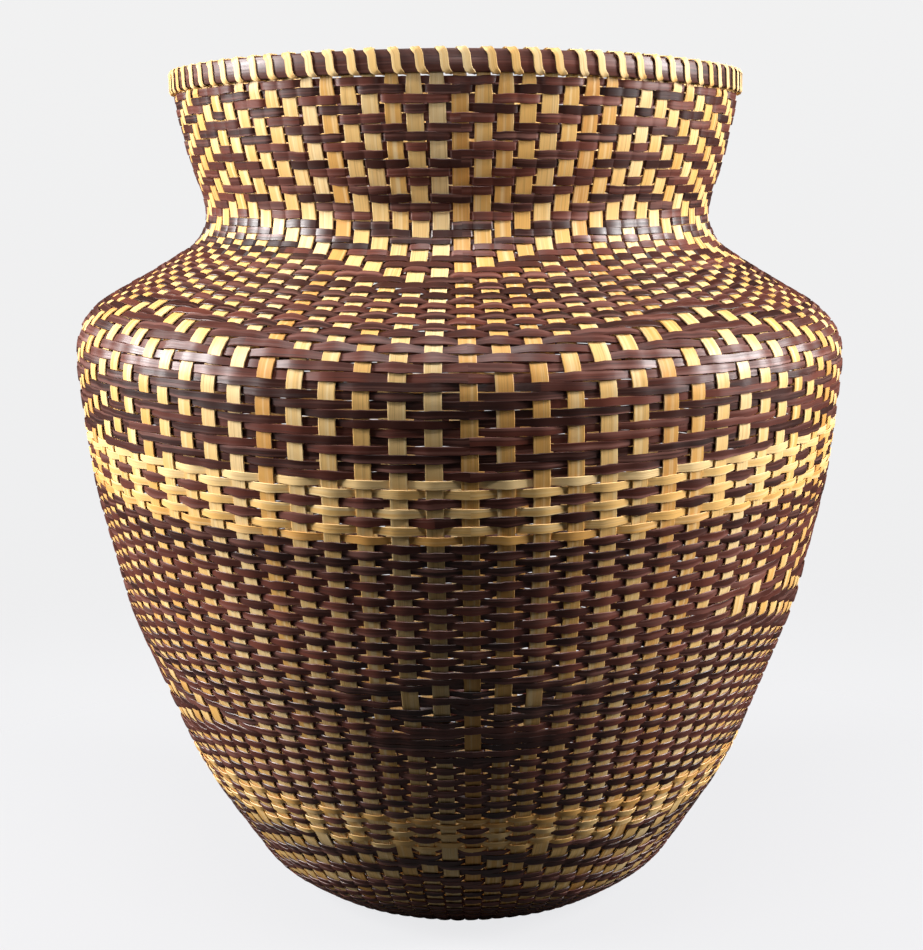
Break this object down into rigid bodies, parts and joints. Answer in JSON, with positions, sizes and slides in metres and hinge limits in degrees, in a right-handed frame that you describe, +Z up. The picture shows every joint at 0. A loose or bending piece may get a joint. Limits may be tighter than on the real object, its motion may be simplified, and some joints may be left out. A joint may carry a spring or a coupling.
{
  "type": "woven splint basket",
  "caption": "Tall round woven splint basket with a flat base, wide belly, drawn-in neck and a lashed hoop rim, open at the top.",
  "frame": {"origin": "centre of the underside of the base, on the surface the basket stands on", "axes": "+Z up along the basket's axis, -Y towards the pictured front"},
  "size_m": [0.472, 0.472, 0.513],
  "materials": {
    "natural_splint": "natural wood splint, satin, fine grain along its length",
    "dyed_splint": "wood splint dyed dark reddish brown, satin, fine grain along its length"
  },
  "bodies": {
    "root": {"base_weave": "dyed_splint", "belly_weave": "dyed_splint", "foot_weave": "dyed_splint", "lower_body_weave": "dyed_splint", "lower_natural_band": "natural_splint", "neck_weave": "dyed_splint", "rim_inner_hoop": "dyed_splint", "rim_lashing": "natural_splint", "rim_outer_hoop": "dyed_splint", "shoulder_weave": "dyed_splint", "stake_crosswise_01": "natural_splint", "stake_crosswise_02": "natural_splint", "stake_crosswise_03": "natural_splint", "stake_crosswise_04": "natural_splint", "stake_crosswise_05": "natural_splint", "stake_crosswise_06": "natural_splint", "stake_crosswise_07": "natural_splint", "stake_crosswise_08": "natural_splint", "stake_crosswise_09": "natural_splint", "stake_crosswise_10": "natural_splint", "stake_crosswise_11": "natural_splint", "stake_crosswise_12": "natural_splint", "stake_crosswise_13": "natural_splint", "stake_crosswise_14": "natural_splint", "stake_crosswise_15": "natural_splint", "stake_crosswise_16": "natural_splint", "stake_crosswise_17": "natural_splint", "stake_crosswise_18": "natural_splint", "stake_crosswise_19": "natural_splint", "stake_crosswise_20": "natural_splint", "stake_crosswise_21": "natural_splint", "stake_crosswise_22": "natural_splint", "stake_lengthwise_01": "natural_splint", "stake_lengthwise_02": "natural_splint", "stake_lengthwise_03": "natural_splint", "stake_lengthwise_04": "natural_splint", "stake_lengthwise_05": "natural_splint", "stake_lengthwise_06": "natural_splint", "stake_lengthwise_07": "natural_splint", "stake_lengthwise_08": "natural_splint", "stake_lengthwise_09": "natural_splint", "stake_lengthwise_10": "natural_splint", "stake_lengthwise_11": "natural_splint", "stake_lengthwise_12": "natural_splint", "stake_lengthwise_13": "natural_splint", "stake_lengthwise_14": "natural_splint", "stake_lengthwise_15": "natural_splint", "stake_lengthwise_16": "natural_splint", "stake_lengthwise_17": "natural_splint", "stake_lengthwise_18": "natural_splint", "stake_lengthwise_19": "natural_splint", "stake_lengthwise_20": "natural_splint", "stake_lengthwise_21": "natural_splint", "stake_lengthwise_22": "natural_splint", "upper_body_weave": "dyed_splint", "upper_natural_band": "natural_splint"}
  },
  "joints": []
}
